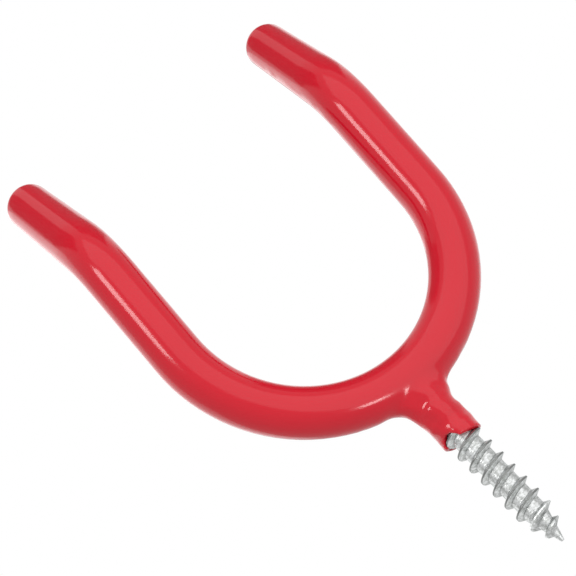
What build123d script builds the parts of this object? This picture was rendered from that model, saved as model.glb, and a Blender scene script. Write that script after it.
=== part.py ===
"""Screw-in utility hook: a two-arm steel fork on a lag screw, dipped in vinyl.

The part is in millimetres with +Z up, as it sits when it is screwed into a wall. The screw runs along -Y, the fork
lies level with its arms towards +Y, and both tips turn up. The origin is on the screw's axis where the coat stops,
which is the wall's surface when the hook is screwed home.
"""

from build123d import *
from math import atan2, cos, degrees, radians, sin
import os

# Fork
bar_diameter = 7.94  # 5/16 inch round bar
crown_radius = 29.5  # bar's centreline, round the closed end
arm_straight = 19.7  # from the crown to the start of the tip's bend
bend_radius = 17.4  # bar's centreline
bend_angle = 38.2  # of the tips, up from the fork's plane
tip_straight = 24.6  # from the end of the bend to the end of the steel
left_tip_lean = 8.0  # degrees off upright towards -X, of the tip on the -X side
right_tip_lean = 5.8  # degrees off upright towards -X, of the tip on the +X side
bar_end_rounding = 1.2
fork_turn = 3.4  # degrees that the fork is welded off square, about the crown's centre

# Lag screw
screw_diameter = 7.0  # over the thread
thread_pitch = 3.175  # 8 turns to the inch
root_diameter = 4.7
ridge_width = 1.5  # of one turn of thread, at its root
crest_width = 0.3
screw_reach = 26.7  # from the coat's edge to the point
point_length = 7.2  # of the tapered end
bare_point = 2.3  # of the tapered end, past the thread
point_radius = 0.35  # of the blunt tip
crest_facing = 123.5  # degrees from +X towards +Z that a crest faces at the coat's edge

# Vinyl coat
coat_thickness = 1.08
tip_coat_thickness = 0.52  # the coat drains thin towards the tips
tip_cover = 0.62  # over each end of the bar
tip_rounding = 2.6
neck_reach = 16.1  # from the bar's centreline at the crown to the coat's edge
neck_diameter = 8.05
web_radius = 6.0  # where the neck flows into the crown
ripple_height = 0.2  # of the coat over each turn of thread
ripple_width = 1.8
edge_slant = 7.4  # degrees off square, so that the coat's edge reaches furthest on the -X side
scoop_radius = 2.2  # bite out of the edge, over the first bare turn of thread
scoop_facing = -31.0  # degrees from +X towards +Z

# Sizes that follow
bar_radius = bar_diameter / 2
root_radius = root_diameter / 2
thread_depth = screw_diameter / 2 - root_radius
coat_radius = bar_radius + coat_thickness
neck_radius = neck_diameter / 2
crown_centre = (0, crown_radius + neck_reach, 0)

# Building aids
embed = 0.5  # depth that one form sinks into the next before they are fused
fork_place = Location(crown_centre, (0, 0, fork_turn))
screw_place = Plane(origin=(0, 0, 0), x_dir=(1, 0, 0), z_dir=(0, -1, 0)).location


def bent_bar(radius, tip_radius, tip_length, end_rounding):
    """Round bar in the fork's form about the crown's centre, its arms along +Y and its tips turned up."""
    with BuildPart() as bar:
        # Every round starts on the inside of the fork, so that the closing edges meet and stay clear of the neck
        with BuildSketch(Plane(origin=(crown_radius, 0, 0), x_dir=(-1, 0, 0), z_dir=(0, -1, 0))):
            Circle(radius)
        revolve(axis=Axis((0, 0, 0), (0, 0, -1)), revolution_arc=180)
        for side, tip_lean in ((-1, left_tip_lean), (1, right_tip_lean)):
            inwards = (-side, 0, 0)
            arm_x = side * crown_radius
            arm_plane = Plane(origin=(arm_x, 0, 0), x_dir=inwards, z_dir=(0, 1, 0))
            with BuildSketch(arm_plane):
                Circle(radius)
            extrude(amount=arm_straight)
            with BuildSketch(arm_plane.offset(arm_straight)):
                Circle(radius)
            rise = Vector(0, 0, 1).rotate(Axis.Y, -tip_lean)
            bend_centre = Vector(arm_x, arm_straight, 0) + rise * bend_radius
            bend_axis = Axis(bend_centre, Vector(0, 1, 0).cross(rise))
            revolve(axis=bend_axis, revolution_arc=bend_angle)
            # The tip is a turned form: tapered, with a rounded end
            tip_way = Vector(0, 1, 0).rotate(bend_axis, bend_angle)
            tip_start = bend_centre - rise.rotate(bend_axis, bend_angle) * bend_radius
            across = Vector(inwards).rotate(bend_axis, bend_angle)
            along_tip = Plane(origin=tip_start, x_dir=across, z_dir=across.cross(tip_way))
            with BuildSketch(along_tip) as profile:
                Polygon((0, 0), (radius, 0), (tip_radius, tip_length), (0, tip_length), align=None)
                end_corner = profile.vertices().group_by(Axis.Y)[-1].sort_by(Axis.X)[-1]
                fillet(end_corner, end_rounding)
            revolve(axis=Axis(tip_start, tip_way))
    return bar.part


def turned_blank(radius, end_radius):
    """Turned form along +Z with a tapered point, from the bar's centreline to the screw's tip."""
    taper_start = screw_reach - point_length
    with BuildPart() as blank:
        # The closing edge is at -Y, where the thread's sweeps cross it cleanly at most sizes
        with BuildSketch(Plane(origin=(0, 0, 0), x_dir=(0, -1, 0), z_dir=(-1, 0, 0))):
            Polygon(
                (0, -neck_reach),
                (radius, -neck_reach),
                (radius, taper_start),
                (end_radius, screw_reach),
                (0, screw_reach),
                align=None,
            )
        revolve(axis=Axis.Z)
    return blank.part


def thread_ridge():
    """Right-hand thread along +Z: one helical sweep up to the point, and one that winds in along it."""
    ridge_start = ridge_width - neck_reach
    taper_start = screw_reach - point_length
    taper = degrees(atan2(root_radius - point_radius, point_length))
    slope = (ridge_width - crest_width) / 2 / thread_depth
    foot = ridge_width / 2 + slope * embed
    with BuildPart() as ridge:
        with BuildLine():
            winding = Helix(thread_pitch, taper_start - ridge_start, root_radius, center=(0, 0, ridge_start))
        with BuildSketch(Plane(origin=winding @ 0, x_dir=(1, 0, 0), z_dir=winding % 0)):
            Polygon(
                (-embed, -foot),
                (thread_depth, -crest_width / 2),
                (thread_depth, crest_width / 2),
                (-embed, foot),
                align=None,
            )
        sweep(is_frenet=True)
        last_section = ridge.faces().filter_by(GeomType.PLANE).sort_by(Axis.Z)[-1]
        turned = degrees(atan2((winding @ 1).Y, (winding @ 1).X))
        narrowing = Edge.make_helix(
            thread_pitch / cos(radians(taper)),
            point_length - bare_point,
            root_radius,
            (0, 0, taper_start),
            angle=-taper,
        )
        sweep(last_section, path=narrowing.rotate(Axis.Z, turned), is_frenet=True)
    return ridge.part


# The screw is made along +Z with a crest towards +X where its ridge starts, then placed.
crest_turn = crest_facing + 360 * (ridge_width - neck_reach) / thread_pitch
screw_blank = turned_blank(root_radius, point_radius)
screw_ridge = thread_ridge()
screw_envelope = turned_blank(screw_diameter / 2 + embed, point_radius + embed)
steel_bar = bent_bar(bar_radius, bar_radius, tip_straight, bar_end_rounding)

with BuildPart() as threaded_blank:
    add(screw_blank)
    add(screw_ridge)
    add(screw_envelope, mode=Mode.INTERSECT)

with BuildPart() as whole_screw:
    with Locations(screw_place * Location((0, 0, 0), (0, 0, crest_turn))):
        add(threaded_blank.part)

with BuildPart() as lag_screw:
    # The blunt end is coped to the round of the bar
    add(whole_screw.part)
    with Locations(fork_place):
        add(steel_bar, mode=Mode.SUBTRACT)

with BuildPart() as steel_fork:
    with Locations(fork_place):
        add(steel_bar)

with BuildPart() as bare_metal:
    with Locations(fork_place):
        add(steel_bar)
    add(whole_screw.part)

with BuildPart() as ripple:
    # The coat stands a little proud over each turn of the thread beneath it
    ripple_start = coat_radius + web_radius / 3 - neck_reach
    with BuildLine():
        winding = Helix(thread_pitch, -ripple_start, neck_radius, center=(0, 0, ripple_start))
    with BuildSketch(Plane(origin=winding @ 0, x_dir=(1, 0, 0), z_dir=winding % 0)):
        with BuildLine():
            Line((-embed, ripple_width / 2), (-embed, -ripple_width / 2))
            ThreePointArc((-embed, -ripple_width / 2), (ripple_height, 0), (-embed, ripple_width / 2))
        make_face()
    sweep(is_frenet=True)

coat_form = bent_bar(coat_radius, bar_radius + tip_coat_thickness, tip_straight + tip_cover, tip_rounding)
ripple_turn = crest_facing + 360 * ripple_start / thread_pitch
scoop_way = (cos(radians(scoop_facing)), 0, sin(radians(scoop_facing)))

with BuildPart() as vinyl_coating:
    with Locations(fork_place):
        add(coat_form)
    # The neck's closing edge is underneath, where the webs take it at any size of crown
    with BuildSketch(Plane(origin=(0, -coat_radius, 0), x_dir=(0, 0, -1), z_dir=(0, 1, 0))):
        Circle(neck_radius)
    extrude(amount=coat_radius + neck_reach)
    fillet(vinyl_coating.edges().filter_by(GeomType.BSPLINE), web_radius)
    add(bare_metal.part, mode=Mode.SUBTRACT)
    with Locations(screw_place * Location((0, 0, 0), (0, 0, ripple_turn))):
        add(ripple.part)
    # The edge is a little off square, with a bite out of it
    split(bisect_by=Plane.XZ.rotated((0, 0, edge_slant)), keep=Keep.BOTTOM)
    with BuildSketch(Plane(origin=(0, 0, 0), x_dir=(0, 1, 0), z_dir=scoop_way)):
        Circle(scoop_radius)
    extrude(amount=neck_diameter, mode=Mode.SUBTRACT)

os.makedirs("parts", exist_ok=True)
steel_fork.part.label = "steel_fork"
lag_screw.part.label = "lag_screw"
vinyl_coating.part.label = "vinyl_coating"
export_step(steel_fork.part, "parts/steel_fork.step")
export_step(lag_screw.part, "parts/lag_screw.step")
export_step(vinyl_coating.part, "parts/vinyl_coating.step")
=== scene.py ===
"""Screw-in utility hook: its dipped vinyl coat, zinc-plated screw, steel bar and display stage.

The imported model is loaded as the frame, in metres, with +Z up, -Y along the screw into the wall and +Y out along the
arms. The vinyl coat is worked from a copy of its solid, and the screw and the bar keep their solids and get a finish.
"""

import math

import bpy
from bpy.props import FloatProperty, FloatVectorProperty, PointerProperty
from mathutils import Matrix, Vector
from mathutils.bvhtree import BVHTree


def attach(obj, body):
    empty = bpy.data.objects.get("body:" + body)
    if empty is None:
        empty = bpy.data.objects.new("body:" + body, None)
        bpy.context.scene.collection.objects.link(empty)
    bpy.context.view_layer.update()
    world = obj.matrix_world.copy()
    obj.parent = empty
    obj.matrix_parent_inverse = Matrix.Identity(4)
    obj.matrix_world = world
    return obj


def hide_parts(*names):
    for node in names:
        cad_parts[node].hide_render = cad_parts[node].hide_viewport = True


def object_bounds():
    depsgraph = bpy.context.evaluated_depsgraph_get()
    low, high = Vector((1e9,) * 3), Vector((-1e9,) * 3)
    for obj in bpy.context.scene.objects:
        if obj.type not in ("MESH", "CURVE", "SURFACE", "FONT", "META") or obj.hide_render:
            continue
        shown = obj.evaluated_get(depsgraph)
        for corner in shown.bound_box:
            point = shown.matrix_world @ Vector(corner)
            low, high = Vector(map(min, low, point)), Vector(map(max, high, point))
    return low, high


bl_info = {
    "name": "Utility Hook Dresser",
    "version": (1, 0, 0),
    "blender": (4, 5, 0),
    "location": "View3D > Sidebar > Utility Hook",
    "description": "Dresses a screw-in utility hook: dipped vinyl coat, zinc-plated screw, steel bar and stage",
    "category": "Object",
}

MM = 0.001
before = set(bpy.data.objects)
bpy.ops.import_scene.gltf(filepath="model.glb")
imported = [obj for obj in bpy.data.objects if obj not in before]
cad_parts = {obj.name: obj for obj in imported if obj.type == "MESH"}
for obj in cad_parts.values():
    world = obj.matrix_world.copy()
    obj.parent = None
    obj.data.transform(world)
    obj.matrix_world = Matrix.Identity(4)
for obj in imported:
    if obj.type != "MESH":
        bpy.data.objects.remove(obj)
CAD_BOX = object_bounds()

# Coat
MERGE_REACH = 0.001 * MM  # between corners that are one corner
CAVITY_REACH = 0.25 * MM  # from the steel to anything on the cavity's wall
WALL_REACH = CAVITY_REACH / 2  # from the steel to the cavity's wall before the mesh is made even
WALL_THICKENING = 0.3 * MM  # inwards, where nothing of it shows
SKIN_SMOOTHING = 3  # rounds, all over
NECK_SMOOTHING = 14  # rounds, on the neck
CAVITY_KEPT = 0.62  # share of the cavity's faces
BORE_RADIUS = 3.6 * MM  # of the coat's inside, over the thread
BORE_EASE = 0.3 * MM  # from the bore to where the lumps are full
EDGE_EASE = 1.5 * MM  # from the coat's edge to where the lumps are full
NECK_FADES = 15.0 * MM  # along the screw's line, where the neck has become the crown
NECK_EASE = 5.0 * MM  # before that, over which the neck becomes the crown

# Stage: turns are azimuth, elevation and a lamp's roll in degrees, and sizes are in metres
LIGHT_DISTANCE = 0.9
LAMPS = (  # name, turns, size, brightness against a white sky's 1
    ("wide_box", (-111.5, -72.4, 2.0), (2.8, 1.1), 1.0),
    ("strip_box", (121.7, -35.1, 0.0), (0.24, 0.24), 11.0),
    ("small_box", (-4.2, -51.0, 0.0), (0.16, 0.16), 14.0),
    ("top_box", (110.0, 60.0, 0.0), (1.0, 1.0), 0.9),
    ("back_box", (-110.0, 30.0, 0.0), (0.9, 0.9), 0.3),
)
CARDS = (  # name, turns, size
    ("tip_card", (161.0, 10.0), (0.48, 0.84)),
    ("far_tip_card", (216.5, 10.0), (0.65, 0.84)),
)
FLOOR_RADIUS = 4.0
FLOOR_SHADE = 0.8
CARD_SHADE = 0.3


# --------------------------------------------------------------------------------------------------------------------
# Settings
# --------------------------------------------------------------------------------------------------------------------


class VinylCoatSettings(bpy.types.PropertyGroup):
    """Sizes and colours of the dipped vinyl coat."""

    grain: FloatProperty(
        name="Mesh Grain",
        description="Size of the coat's mesh faces",
        default=0.34 * MM,
        min=0.3 * MM,
        unit="LENGTH",
    )
    wave_depth: FloatProperty(
        name="Wave Depth",
        description="Depth of the slow waves that the dip leaves along the arms",
        default=0.04 * MM,
        unit="LENGTH",
    )
    wave_size: FloatProperty(
        name="Wave Size",
        description="Length of the slow waves along the arms",
        default=9.0 * MM,
        unit="LENGTH",
    )
    lump_depth: FloatProperty(
        name="Lump Depth",
        description="Depth of the lumps where the coat ran down over the thread",
        default=0.6 * MM,
        unit="LENGTH",
    )
    lump_size: FloatProperty(
        name="Lump Size",
        description="Size of the lumps over the thread",
        default=3.0 * MM,
        unit="LENGTH",
    )
    colour: FloatVectorProperty(
        name="Vinyl Colour",
        description="Colour of the vinyl",
        subtype="COLOR",
        size=3,
        min=0.0,
        max=1.0,
        default=(0.60, 0.006, 0.020),
    )
    roughness: FloatProperty(
        name="Gloss Roughness",
        description="Roughness of the vinyl's skin, low for a wet look",
        default=0.14,
        min=0.0,
        max=1.0,
        subtype="FACTOR",
    )


class LagScrewSettings(bpy.types.PropertyGroup):
    """Colours of the zinc-plated screw."""

    colour: FloatVectorProperty(
        name="Zinc Colour",
        description="Colour of the bright zinc plate",
        subtype="COLOR",
        size=3,
        min=0.0,
        max=1.0,
        default=(0.55, 0.56, 0.56),
    )
    dull_colour: FloatVectorProperty(
        name="Dull Zinc Colour",
        description="Colour of the zinc where it is dull or scuffed",
        subtype="COLOR",
        size=3,
        min=0.0,
        max=1.0,
        default=(0.37, 0.38, 0.37),
    )
    # The thread is painted lighter from here outwards, as painted light on its flanks
    flank_from: FloatProperty(
        name="Flank From",
        description="Distance from the screw's axis where the thread's flanks begin",
        default=2.45 * MM,
        unit="LENGTH",
    )
    # The crest is painted darker from here outwards, as a painted dark reflection
    crest_from: FloatProperty(
        name="Crest From",
        description="Distance from the screw's axis where the thread's dull crest begins",
        default=3.42 * MM,
        unit="LENGTH",
    )


class SteelForkSettings(bpy.types.PropertyGroup):
    """Colour of the steel bar inside the coat."""

    colour: FloatVectorProperty(
        name="Steel Colour",
        description="Colour of the bare bar",
        subtype="COLOR",
        size=3,
        min=0.0,
        max=1.0,
        default=(0.42, 0.42, 0.43),
    )


class StageSettings(bpy.types.PropertyGroup):
    """Camera, floor and lights round the hook."""

    lens: FloatProperty(
        name="Lens",
        description="Focal length of the camera",
        default=225.0,
        subtype="DISTANCE_CAMERA",
    )
    azimuth: FloatProperty(
        name="Azimuth",
        description="Where the camera stands, turned from -Y towards +X",
        default=math.radians(50.08),
        subtype="ANGLE",
    )
    elevation: FloatProperty(
        name="Elevation",
        description="Height of the camera's line above the level, so below it is negative",
        default=math.radians(-64.96),
        subtype="ANGLE",
    )
    roll: FloatProperty(
        name="Roll",
        description="Turn of the camera about its own line",
        default=math.radians(-171.25),
        subtype="ANGLE",
    )
    distance: FloatProperty(
        name="Distance",
        description="From the camera to the point that it aims at",
        default=688.5 * MM,
        unit="LENGTH",
    )
    aim: FloatVectorProperty(
        name="Aim",
        description="Point that the camera aims at, from the hook's origin on the screw",
        subtype="TRANSLATION",
        size=3,
        default=(1.97 * MM, 46.17 * MM, 6.53 * MM),
    )
    floor_drop: FloatProperty(
        name="Floor Drop",
        description="Depth of the floor below the hook, which hangs from a wall",
        default=1.6,
        unit="LENGTH",
    )
    sky_light: FloatProperty(
        name="Sky Light",
        description="Strength of the sky's even light on the hook, which looks white at any strength",
        default=0.54,
        min=0.0,
    )


# --------------------------------------------------------------------------------------------------------------------
# Helpers
# --------------------------------------------------------------------------------------------------------------------


def deselect_all():
    """Leaves nothing selected and no object in edit mode."""
    if bpy.context.object and bpy.context.object.mode != "OBJECT":
        bpy.ops.object.mode_set(mode="OBJECT")
    bpy.ops.object.select_all(action="DESELECT")


def make_active(piece):
    """Selects one object alone."""
    deselect_all()
    piece.select_set(True)
    bpy.context.view_layer.objects.active = piece


def apply_all(piece):
    """Applies every modifier of a piece, in order."""
    make_active(piece)
    for modifier in list(piece.modifiers):
        bpy.ops.object.modifier_apply(modifier=modifier.name)


def copy_of_node(node, name):
    """Copy of a CAD node as a new piece, with its loose triangles merged."""
    piece = bpy.data.objects.new(name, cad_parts[node].data.copy())
    piece.data.name = name
    piece.data.materials.clear()
    bpy.context.scene.collection.objects.link(piece)
    make_active(piece)
    bpy.ops.object.mode_set(mode="EDIT")
    bpy.ops.mesh.select_all(action="SELECT")
    bpy.ops.mesh.remove_doubles(threshold=MERGE_REACH)
    bpy.ops.object.mode_set(mode="OBJECT")
    return piece


def give_finish(piece, material):
    """Makes a material the only one on a piece."""
    if not piece.data.materials:
        piece.data.materials.append(material)
    for index in range(len(piece.data.materials)):
        piece.data.materials[index] = material


def share_of(value):
    """A value held between 0 and 1."""
    return min(max(value, 0), 1)


def shaded(colour, share):
    """A colour made darker or lighter by a share."""
    return tuple(channel * share for channel in colour)


class Finish:
    """A node material on one Principled shader, with short calls for its nodes."""

    def __init__(self, name):
        self.material = bpy.data.materials.new(name)
        self.material.use_nodes = True
        self.tree = self.material.node_tree
        self.shader = self.tree.nodes["Principled BSDF"]
        self.places = self.tree.nodes.new("ShaderNodeTexCoord").outputs["Object"]

    def join(self, source, target):
        """Links one socket to another."""
        self.tree.links.new(source, target)

    def stretched(self, scale, turn=(0, 0, 0)):
        """Object coordinates, turned and scaled."""
        mapping = self.tree.nodes.new("ShaderNodeMapping")
        mapping.inputs["Rotation"].default_value = turn
        mapping.inputs["Scale"].default_value = scale
        self.join(self.places, mapping.inputs["Vector"])
        return mapping.outputs["Vector"]

    def noise(self, feature_size, vector=None, detail=2.0, roughness=0.5):
        """Noise whose features are about as large as the size given, in metres."""
        node = self.tree.nodes.new("ShaderNodeTexNoise")
        node.inputs["Scale"].default_value = 1 / feature_size
        node.inputs["Detail"].default_value = detail
        node.inputs["Roughness"].default_value = roughness
        self.join(vector or self.places, node.inputs["Vector"])
        return node.outputs["Fac"]

    def remap(self, source, low, high, to_low, to_high):
        """Maps one range of a value to another and clamps it."""
        node = self.tree.nodes.new("ShaderNodeMapRange")
        for socket, value in zip(node.inputs[1:5], (low, high, to_low, to_high)):
            socket.default_value = value
        self.join(source, node.inputs["Value"])
        return node.outputs["Result"]

    def from_axis(self):
        """Distance from the screw's axis, in metres."""
        spread = self.tree.nodes.new("ShaderNodeVectorMath")
        spread.operation = "LENGTH"
        self.join(self.stretched((1, 0, 1)), spread.inputs[0])
        return spread.outputs["Value"]

    def blend_colours(self, factor, first, second):
        """Mixes two colours, or the colours of two sockets, by a factor."""
        node = self.tree.nodes.new("ShaderNodeMix")
        node.data_type = "RGBA"
        for socket, colour in ((node.inputs[6], first), (node.inputs[7], second)):
            if isinstance(colour, tuple):
                socket.default_value = (*colour, 1)
            else:
                self.join(colour, socket)
        self.join(factor, node.inputs["Factor"])
        return node.outputs[2]

    def bump(self, height, depth, under=None):
        """Bump of the depth given, in metres, over another bump where there is one."""
        node = self.tree.nodes.new("ShaderNodeBump")
        node.inputs["Distance"].default_value = depth
        self.join(height, node.inputs["Height"])
        if under:
            self.join(under, node.inputs["Normal"])
        return node.outputs["Normal"]


# --------------------------------------------------------------------------------------------------------------------
# Finishes
# --------------------------------------------------------------------------------------------------------------------


def red_vinyl_finish(settings):
    """Glossy dipped vinyl: deep red, a thin wet skin and a slightly uneven gloss."""
    finish = Finish("red_vinyl")
    shader = finish.shader
    colour = tuple(settings.colour)
    cloud_size, smear_size = 14 * MM, 3 * MM
    clouds = finish.blend_colours(finish.noise(cloud_size), shaded(colour, 0.93), colour)
    finish.join(clouds, shader.inputs["Base Color"])
    smears = finish.noise(smear_size, detail=4)
    gloss = finish.remap(smears, 0.3, 0.7, settings.roughness * 0.9, settings.roughness * 1.15)
    finish.join(gloss, shader.inputs["Roughness"])
    shader.inputs["Specular IOR Level"].default_value = 0.33
    waves = finish.bump(finish.noise(settings.wave_size, detail=0), settings.wave_depth)
    finish.join(waves, shader.inputs["Normal"])
    return finish.material


def zinc_plate_finish(settings):
    """Bright zinc plate over a rolled thread: flaked and streaked at the root, painted light on the flanks, painted
    dark reflection on the crest.
    """
    finish = Finish("zinc_plate")
    shader = finish.shader
    colour, dull = tuple(settings.colour), tuple(settings.dull_colour)
    flake_size, smear_size, streak_size, pit_size = 0.55 * MM, 0.6 * MM, 0.9 * MM, 0.4 * MM
    flank_ease, crest_ease = 0.25 * MM, 0.05 * MM
    slanted = finish.stretched((1, 1.6, 1), (0.5, 0, 0.6))
    flakes = finish.remap(finish.noise(flake_size, slanted, detail=4), 0.42, 0.58, 0, 1)
    # Painted light on the flanks, against the shade that the turns cast on each other, and a painted dark reflection
    # on the crest
    from_axis = finish.from_axis()
    flank = finish.remap(from_axis, settings.flank_from, settings.flank_from + flank_ease, 0, 1)
    crest = finish.remap(from_axis, settings.crest_from, settings.crest_from + crest_ease, 0, 1)
    root = finish.blend_colours(flakes, colour, dull)
    # Painted light: the flanks get a lighter copy of the root's colours
    painted_light_flanks = finish.blend_colours(flakes, shaded(colour, 1.4), shaded(dull, 1.4))
    thread = finish.blend_colours(flank, root, painted_light_flanks)
    # Painted dark reflection: the crest is half as bright as the dull zinc
    finish.join(finish.blend_colours(crest, thread, shaded(dull, 0.5)), shader.inputs["Base Color"])
    shader.inputs["Metallic"].default_value = 0.85
    shader.inputs["Specular Tint"].default_value = (0.6, 0.61, 0.61, 1)  # darker where it turns away
    smears = finish.noise(smear_size, detail=3)
    finish.join(finish.remap(smears, 0.35, 0.65, 0.28, 0.46), shader.inputs["Roughness"])
    # Streaks run round the screw, so they are short along it
    round_the_screw = finish.stretched((1, 4, 1))
    streaks = finish.bump(finish.noise(streak_size, round_the_screw, detail=3), 0.06 * MM)
    pits = finish.bump(finish.noise(pit_size, detail=3), 0.015 * MM, streaks)
    finish.join(pits, shader.inputs["Normal"])
    return finish.material


def bar_steel_finish(settings):
    """Bare drawn bar with a thin grey scale."""
    finish = Finish("bar_steel")
    shader = finish.shader
    colour = tuple(settings.colour)
    scale_size, pit_size = 2 * MM, 0.6 * MM
    scale = finish.blend_colours(finish.noise(scale_size, detail=4), shaded(colour, 0.6), colour)
    finish.join(scale, shader.inputs["Base Color"])
    shader.inputs["Metallic"].default_value = 1.0
    shader.inputs["Roughness"].default_value = 0.45
    finish.join(finish.bump(finish.noise(pit_size), 0.01 * MM), shader.inputs["Normal"])
    return finish.material


# --------------------------------------------------------------------------------------------------------------------
# Pieces
# --------------------------------------------------------------------------------------------------------------------


class HOOK_OT_vinyl_coat(bpy.types.Operator):
    """Work the dipped vinyl coat: an even skin, lumps over the thread and slow waves"""

    bl_idname = "hook.vinyl_coat"
    bl_label = "Vinyl Coat"

    def execute(self, context):
        settings = context.scene.vinyl_coat
        solid = copy_of_node("vinyl_coating", "coat_solid")
        bpy.ops.object.shade_smooth()
        coat = copy_of_node("vinyl_coating", "dipped_vinyl_coat")
        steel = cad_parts["steel_fork"].data
        steel_tree = BVHTree.FromPolygons([v.co for v in steel.vertices], [f.vertices for f in steel.polygons])
        # The thin skin over the bar's ends is thickened inwards, so that the even mesh has no holes in it
        on_wall = [v.index for v in coat.data.vertices if steel_tree.find_nearest(v.co)[3] < WALL_REACH]
        coat.vertex_groups.new(name="wall").add(on_wall, 1, "REPLACE")
        thicken = coat.modifiers.new("Thick Wall", "DISPLACE")
        thicken.vertex_group = "wall"
        thicken.strength = WALL_THICKENING
        thicken.mid_level = 0
        remesh = coat.modifiers.new("Even Mesh", "REMESH")
        remesh.mode = "VOXEL"
        remesh.voxel_size = settings.grain
        # The even mesh is drawn back onto the solid, so that its thin edge still hugs the thread
        wrap = coat.modifiers.new("Back To Solid", "SHRINKWRAP")
        wrap.target = solid
        smooth = coat.modifiers.new("Smooth Skin", "SMOOTH")
        smooth.iterations = SKIN_SMOOTHING
        apply_all(coat)
        bpy.ops.object.shade_smooth()
        self.mark_zones(coat, steel_tree)
        self.run_over_thread(coat, settings)
        thin_out = coat.modifiers.new("Coarse Cavity", "DECIMATE")
        thin_out.vertex_group = "cavity"
        thin_out.ratio = CAVITY_KEPT
        # The arms shine as evenly as the solid that they come from
        shine = coat.modifiers.new("Even Shine", "DATA_TRANSFER")
        shine.object = solid
        shine.use_loop_data = True
        shine.data_types_loops = {"CUSTOM_NORMAL"}
        shine.loop_mapping = "POLYINTERP_NEAREST"
        shine.vertex_group = "arms"
        apply_all(coat)
        coat.vertex_groups.clear()
        bpy.data.objects.remove(solid)
        give_finish(coat, red_vinyl_finish(settings))
        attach(coat, "root")
        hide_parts("vinyl_coating")
        return {"FINISHED"}

    def mark_zones(self, coat, steel_tree):
        """Vertex groups: the cavity round the steel, the outside of the arms, and the outside of the neck."""
        coat.vertex_groups.clear()
        cavity, arms, neck = (coat.vertex_groups.new(name=name) for name in ("cavity", "arms", "neck"))
        for vertex in coat.data.vertices:
            place = vertex.co
            if steel_tree.find_nearest(place)[3] < CAVITY_REACH:
                cavity.add([vertex.index], 1, "REPLACE")
                continue
            # Nothing moves at the coat's very edge, nor on its bore over the thread
            clear_of_bore = share_of((math.hypot(place.x, place.z) - BORE_RADIUS) / BORE_EASE)
            from_edge = share_of(place.y / EDGE_EASE)
            near_neck = share_of((NECK_FADES - place.y) / NECK_EASE)
            arms.add([vertex.index], 1 - near_neck, "REPLACE")
            neck.add([vertex.index], near_neck * clear_of_bore * from_edge, "REPLACE")

    def run_over_thread(self, coat, settings):
        """Lumps where the dip ran down over the thread."""
        soften = coat.modifiers.new("Soft Neck", "SMOOTH")
        soften.iterations = NECK_SMOOTHING
        soften.vertex_group = "neck"
        pattern = bpy.data.textures.new("Lumps", "CLOUDS")
        pattern.noise_scale = settings.lump_size
        pattern.noise_depth = 0
        lumps = coat.modifiers.new("Lumps", "DISPLACE")
        lumps.texture = pattern
        lumps.texture_coords = "LOCAL"
        lumps.vertex_group = "neck"
        lumps.strength = settings.lump_depth
        lumps.mid_level = 0.5


class HOOK_OT_lag_screw(bpy.types.Operator):
    """Give the lag screw its zinc-plated finish"""

    bl_idname = "hook.lag_screw"
    bl_label = "Lag Screw"

    def execute(self, context):
        give_finish(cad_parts["lag_screw"], zinc_plate_finish(context.scene.lag_screw))
        return {"FINISHED"}


class HOOK_OT_steel_fork(bpy.types.Operator):
    """Give the steel fork inside the coat its bare bar finish"""

    bl_idname = "hook.steel_fork"
    bl_label = "Steel Fork"

    def execute(self, context):
        give_finish(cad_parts["steel_fork"], bar_steel_finish(context.scene.steel_fork))
        return {"FINISHED"}


# --------------------------------------------------------------------------------------------------------------------
# Stage
# --------------------------------------------------------------------------------------------------------------------


def direction_from(azimuth, elevation):
    """Unit vector towards a place turned from -Y towards +X, and raised above the level."""
    level = math.cos(elevation)
    return Vector((math.sin(azimuth) * level, -math.cos(azimuth) * level, math.sin(elevation)))


def white_to_the_eye(tree, plain_shader):
    """Makes a surface or the sky pure white to the camera, to mirrors and through glass, and plain to other light."""
    rays = tree.nodes.new("ShaderNodeLightPath")
    seen = rays.outputs["Is Camera Ray"]
    for ray in ("Is Glossy Ray", "Is Transmission Ray"):
        either = tree.nodes.new("ShaderNodeMath")
        either.operation = "MAXIMUM"
        tree.links.new(seen, either.inputs[0])
        tree.links.new(rays.outputs[ray], either.inputs[1])
        seen = either.outputs[0]
    of_the_sky = plain_shader.bl_idname == "ShaderNodeBackground"
    white = tree.nodes.new("ShaderNodeBackground" if of_the_sky else "ShaderNodeEmission")
    white.inputs["Color"].default_value = (1, 1, 1, 1)
    white.inputs["Strength"].default_value = 1.0
    mix = tree.nodes.new("ShaderNodeMixShader")
    tree.links.new(seen, mix.inputs["Fac"])
    tree.links.new(plain_shader.outputs[0], mix.inputs[1])
    tree.links.new(white.outputs[0], mix.inputs[2])
    return mix.outputs[0]


def soft_box(name, aim, turns, size, brightness):
    """Area lamp that faces the hook and isn't seen itself."""
    azimuth, elevation, roll = (math.radians(turn) for turn in turns)
    lamp = bpy.data.lights.new(name, "AREA")
    lamp.shape = "RECTANGLE"
    lamp.size, lamp.size_y = size
    lamp.energy = math.pi * brightness * size[0] * size[1]
    holder = bpy.data.objects.new(name, lamp)
    bpy.context.scene.collection.objects.link(holder)
    towards = direction_from(azimuth, elevation)
    holder.location = aim + towards * LIGHT_DISTANCE
    holder.rotation_euler = (towards.to_track_quat("Z", "Y").to_matrix() @ Matrix.Rotation(roll, 3, "Z")).to_euler()
    holder.visible_camera = False


def matte(name, shade):
    """Plain matte material of one grey, and its shader."""
    material = bpy.data.materials.new(name)
    material.use_nodes = True
    shader = material.node_tree.nodes["Principled BSDF"]
    shader.inputs["Base Color"].default_value = (shade, shade, shade, 1)
    shader.inputs["Roughness"].default_value = 0.9
    return material, shader


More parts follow.
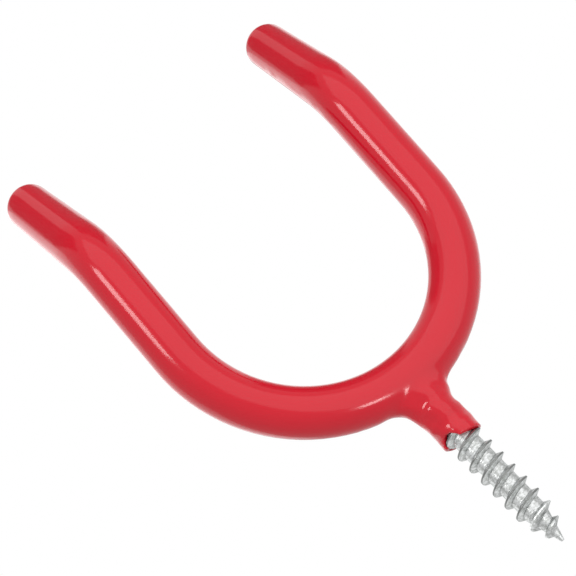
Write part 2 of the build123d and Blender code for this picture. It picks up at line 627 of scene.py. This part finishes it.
def grey_card(name, aim, turns, size):
    """Dark grey card that faces the hook and darkens only what its gloss shows."""
    towards = direction_from(*(math.radians(turn) for turn in turns))
    deselect_all()
    bpy.ops.mesh.primitive_plane_add(
        size=1, location=aim + towards * LIGHT_DISTANCE, rotation=towards.to_track_quat("Z", "Y").to_euler()
    )
    card = bpy.context.object
    card.name = name
    card.scale = (*size, 1)
    bpy.ops.object.transform_apply(location=True, rotation=True, scale=True)
    give_finish(card, matte(name, CARD_SHADE)[0])
    card.visible_camera = card.visible_diffuse = card.visible_shadow = card.visible_transmission = False


class HOOK_OT_stage(bpy.types.Operator):
    """Set the camera, the pale floor, the white sky, the soft lamps and the cards"""

    bl_idname = "hook.stage"
    bl_label = "Stage"

    def execute(self, context):
        settings = context.scene.stage
        low, high = (Vector(corner) for corner in CAD_BOX)
        middle = (low + high) / 2
        self.set_camera(context, settings, Vector(settings.aim))
        self.set_floor(settings, low.z)
        self.set_sky(context, settings)
        for name, turns, size, brightness in LAMPS:
            soft_box(name, middle, turns, size, brightness)
        for name, turns, size in CARDS:
            grey_card(name, middle, turns, size)
        context.scene.view_settings.view_transform = "Standard"
        return {"FINISHED"}

    def set_camera(self, context, settings, aim):
        """Camera on a line through the aim point, rolled about that line."""
        towards = direction_from(settings.azimuth, settings.elevation)
        camera = bpy.data.cameras.new("hook_camera")
        camera.lens = settings.lens
        camera.clip_start = 0.01
        camera.clip_end = 20
        holder = bpy.data.objects.new("hook_camera", camera)
        context.scene.collection.objects.link(holder)
        upright = towards.to_track_quat("Z", "Y").to_matrix().to_4x4()
        holder.matrix_world = (
            Matrix.Translation(aim + towards * settings.distance) @ upright @ Matrix.Rotation(settings.roll, 4, "Z")
        )
        context.scene.camera = holder

    def set_floor(self, settings, lowest):
        """Plain round pale floor far below the hook."""
        deselect_all()
        bpy.ops.mesh.primitive_circle_add(
            vertices=96, radius=FLOOR_RADIUS, fill_type="NGON", location=(0, 0, lowest - settings.floor_drop)
        )
        floor = bpy.context.object
        floor.name = "floor"
        bpy.ops.object.transform_apply(location=True, rotation=True, scale=True)
        material, shader = matte("floor", FLOOR_SHADE)
        surface = material.node_tree.nodes["Material Output"].inputs["Surface"]
        material.node_tree.links.new(white_to_the_eye(material.node_tree, shader), surface)
        give_finish(floor, material)

    def set_sky(self, context, settings):
        """Plain grey light all round, which looks white."""
        world = bpy.data.worlds.new("sky")
        world.use_nodes = True
        context.scene.world = world
        plain = world.node_tree.nodes["Background"]
        plain.inputs["Color"].default_value = (1, 1, 1, 1)
        plain.inputs["Strength"].default_value = settings.sky_light
        surface = world.node_tree.nodes["World Output"].inputs["Surface"]
        world.node_tree.links.new(white_to_the_eye(world.node_tree, plain), surface)


# --------------------------------------------------------------------------------------------------------------------
# Panel and registration
# --------------------------------------------------------------------------------------------------------------------


class HOOK_PT_dresser(bpy.types.Panel):
    """Lists the hook's pieces and its stage in the sidebar"""

    bl_label = "Utility Hook"
    bl_idname = "HOOK_PT_dresser"
    bl_space_type = "VIEW_3D"
    bl_region_type = "UI"
    bl_category = "Utility Hook"

    def draw(self, context):
        for name, operator in (
            ("vinyl_coat", HOOK_OT_vinyl_coat),
            ("lag_screw", HOOK_OT_lag_screw),
            ("steel_fork", HOOK_OT_steel_fork),
            ("stage", HOOK_OT_stage),
        ):
            box = self.layout.box()
            settings = getattr(context.scene, name)
            for field in settings.__annotations__:
                box.prop(settings, field)
            box.operator(operator.bl_idname)


SETTINGS = {
    "vinyl_coat": VinylCoatSettings,
    "lag_screw": LagScrewSettings,
    "steel_fork": SteelForkSettings,
    "stage": StageSettings,
}
CLASSES = (
    *SETTINGS.values(),
    HOOK_OT_vinyl_coat,
    HOOK_OT_lag_screw,
    HOOK_OT_steel_fork,
    HOOK_OT_stage,
    HOOK_PT_dresser,
)


def register():
    for cls in CLASSES:
        bpy.utils.register_class(cls)
    for name, group in SETTINGS.items():
        setattr(bpy.types.Scene, name, PointerProperty(type=group))


def unregister():
    for name in SETTINGS:
        delattr(bpy.types.Scene, name)
    for cls in reversed(CLASSES):
        bpy.utils.unregister_class(cls)


def main():
    register()
    bpy.ops.hook.vinyl_coat()
    bpy.ops.hook.lag_screw()
    bpy.ops.hook.steel_fork()
    bpy.ops.hook.stage()


if __name__ == "__main__":
    main()
